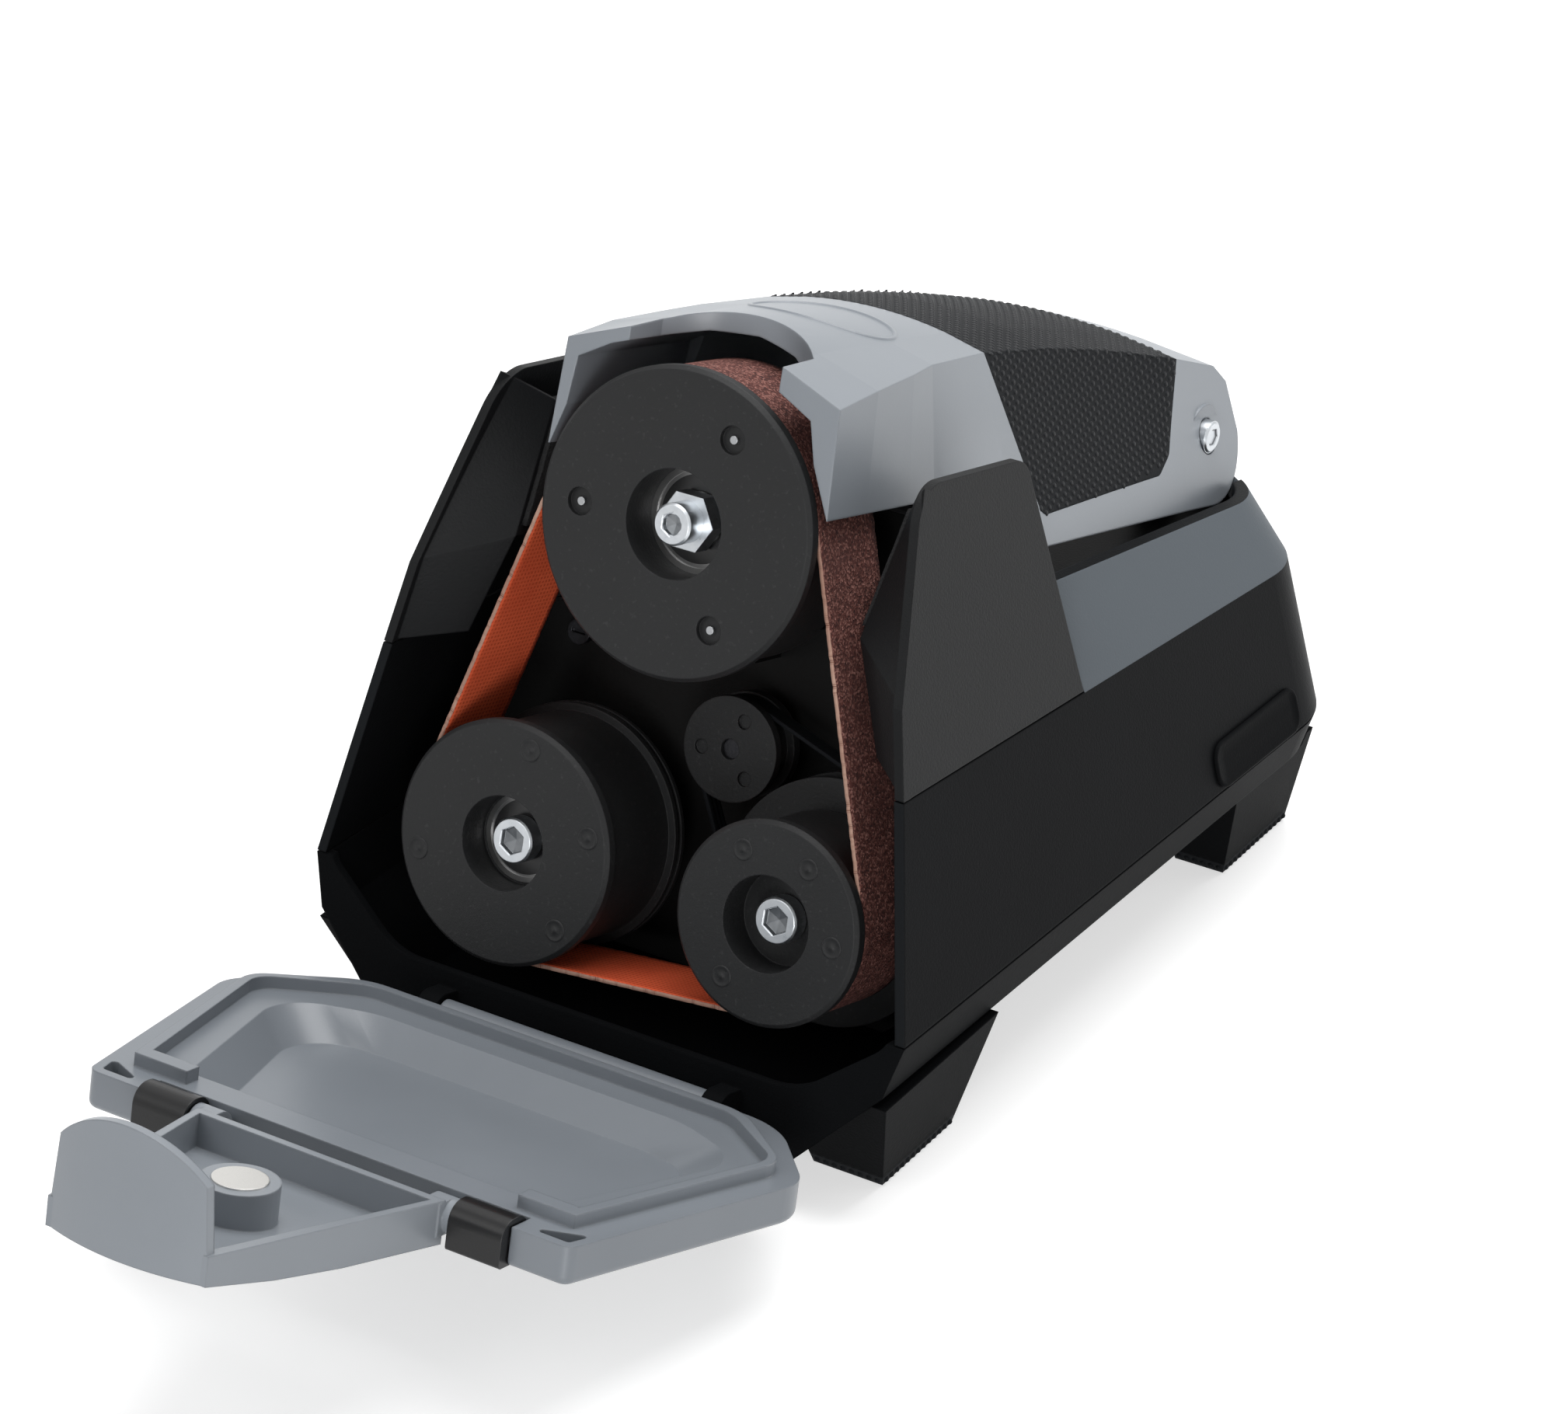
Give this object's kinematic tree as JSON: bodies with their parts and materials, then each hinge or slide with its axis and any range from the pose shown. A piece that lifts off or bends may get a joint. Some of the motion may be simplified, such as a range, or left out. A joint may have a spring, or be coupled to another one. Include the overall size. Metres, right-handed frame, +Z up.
{
  "type": "belt knife sharpener",
  "caption": "Electric belt knife sharpener with leaning abrasive belt on wheels, side guards, tilting lid with soft grip and a fold-down front door with a magnetic flap.",
  "frame": {"origin": "middle of the footprint on the worktop, with the front door open", "axes": "+X to the right seen from the front, +Y to the rear, +Z up"},
  "size_m": [0.168, 0.4088, 0.183],
  "materials": {
    "case_black": "fine grained moulding",
    "rubber_pad": "matte rubber",
    "felt": "pressed felt",
    "grip": "dimpled soft grip",
    "grey_cover": "smooth satin moulding",
    "black_trim": "satin black",
    "zinc": "bright zinc",
    "bearing_steel": "ground steel",
    "wheel_black": "fine grained moulding",
    "chassis": "black moulding",
    "motor_steel": "plated steel",
    "bronze": "sintered bronze",
    "abrasive": "coated abrasive cloth",
    "drive_rubber": "drive belt rubber",
    "board": "solder mask",
    "magnet": "nickel plated"
  },
  "bodies": {
    "case": {"base_tray": "case_black", "upper_housing": "case_black", "right_guard": "case_black", "left_guard": "case_black", "right_felt": "felt", "left_felt": "felt", "foot_front_right": "case_black", "foot_front_left": "case_black", "foot_rear_right": "case_black", "foot_rear_left": "case_black", "foot_pads": "rubber_pad", "bulkhead": "chassis", "bulkhead_screws": "zinc", "carriage_rails": "chassis", "tension_spring": "bearing_steel", "left_shoulder_screw": "zinc", "left_spacer": "zinc", "left_nut": "zinc", "bearing_block": "chassis", "shaft_bearings": "bearing_steel", "motor_can": "motor_steel", "motor_cap": "motor_steel", "motor_bushes": "bronze", "motor_magnets": "motor_steel", "abrasive_belt": "abrasive", "drive_belt": "drive_rubber", "control_board": "board", "board_brackets": "case_black", "button_switches": "black_trim", "mains_inlet": "black_trim", "side_plaque": "black_trim", "lid_pivot_screws": "zinc", "door_hinge_pins": "zinc"},
    "carriage": {"tension_carriage": "chassis", "top_axle": "bearing_steel", "top_standoff": "zinc", "top_cap_screw": "zinc"},
    "top_wheel": {"top_wheel": "wheel_black", "top_bearings": "bearing_steel", "top_wheel_pins": "zinc"},
    "left_wheel": {"left_wheel": "wheel_black", "left_bearings": "bearing_steel"},
    "right_wheel": {"right_wheel": "wheel_black", "drive_shaft": "bearing_steel", "right_screw": "zinc", "drive_pulley": "wheel_black"},
    "motor_rotor": {"motor_pulley": "wheel_black", "motor_rotor": "motor_steel", "motor_fan": "black_trim"},
    "lid": {"lid": "grey_cover", "lid_grip": "grip"},
    "door": {"door": "grey_cover", "flap_bushes": "black_trim"},
    "flap": {"flap": "grey_cover", "flap_rod": "zinc", "flap_magnet": "magnet"},
    "power_button": {"power_button": "black_trim"},
    "program_button": {"program_button": "black_trim"}
  },
  "joints": [
    {"name": "belt_tension", "type": "slide", "parent": "case", "child": "carriage", "axis": [0, -0.2882, -0.9576], "range_m": [0, 0.006], "stiffness_N_per_m": 2000, "springref_m": -0.008, "deforming": ["tension_spring"]},
    {"name": "top_wheel_spin", "type": "hinge", "parent": "carriage", "child": "top_wheel", "pos_m": [-0.00038, 0.00739, 0.1434], "axis": [0, -0.9576, 0.2882], "continuous": true},
    {"name": "left_wheel_spin", "type": "hinge", "parent": "case", "child": "left_wheel", "pos_m": [-0.03368, -0.01774, 0.0599], "axis": [0, -0.9576, 0.2882], "continuous": true},
    {"name": "right_wheel_spin", "type": "hinge", "parent": "case", "child": "right_wheel", "pos_m": [0.04062, -0.01731, 0.06134], "axis": [0, -0.9576, 0.2882], "continuous": true},
    {"name": "motor_spin", "type": "hinge", "parent": "case", "child": "motor_rotor", "pos_m": [0.00682, 0.01969, 0.08017], "axis": [0, -0.9576, 0.2882], "continuous": true},
    {"name": "lid_tilt", "type": "hinge", "parent": "case", "child": "lid", "pos_m": [-0.00038, 0.18812, 0.10405], "axis": [1, 0, 0], "range_deg": [-60, 0]},
    {"name": "door_hinge", "type": "hinge", "parent": "case", "child": "door", "pos_m": [-0.00038, -0.03726, 0.02108], "axis": [1, 0, 0], "range_deg": [-93, 0]},
    {"name": "flap_hinge", "type": "hinge", "parent": "door", "child": "flap", "pos_m": [-0.00038, -0.13252, 0.04408], "axis": [1, 0, 0], "range_deg": [0, 35]},
    {"name": "power_press", "type": "slide", "parent": "case", "child": "power_button", "axis": [1, 0, 0], "range_m": [0, 0.0015], "stiffness_N_per_m": 600, "springref_m": -0.001},
    {"name": "program_press", "type": "slide", "parent": "case", "child": "program_button", "axis": [1, 0, 0], "range_m": [0, 0.0015], "stiffness_N_per_m": 600, "springref_m": -0.001}
  ],
  "couplings": [
    {"joint": "left_wheel_spin", "follows": "top_wheel_spin", "ratio": 1.2473},
    {"joint": "right_wheel_spin", "follows": "top_wheel_spin", "ratio": 1.5348},
    {"joint": "motor_spin", "follows": "top_wheel_spin", "ratio": 3.8781}
  ]
}
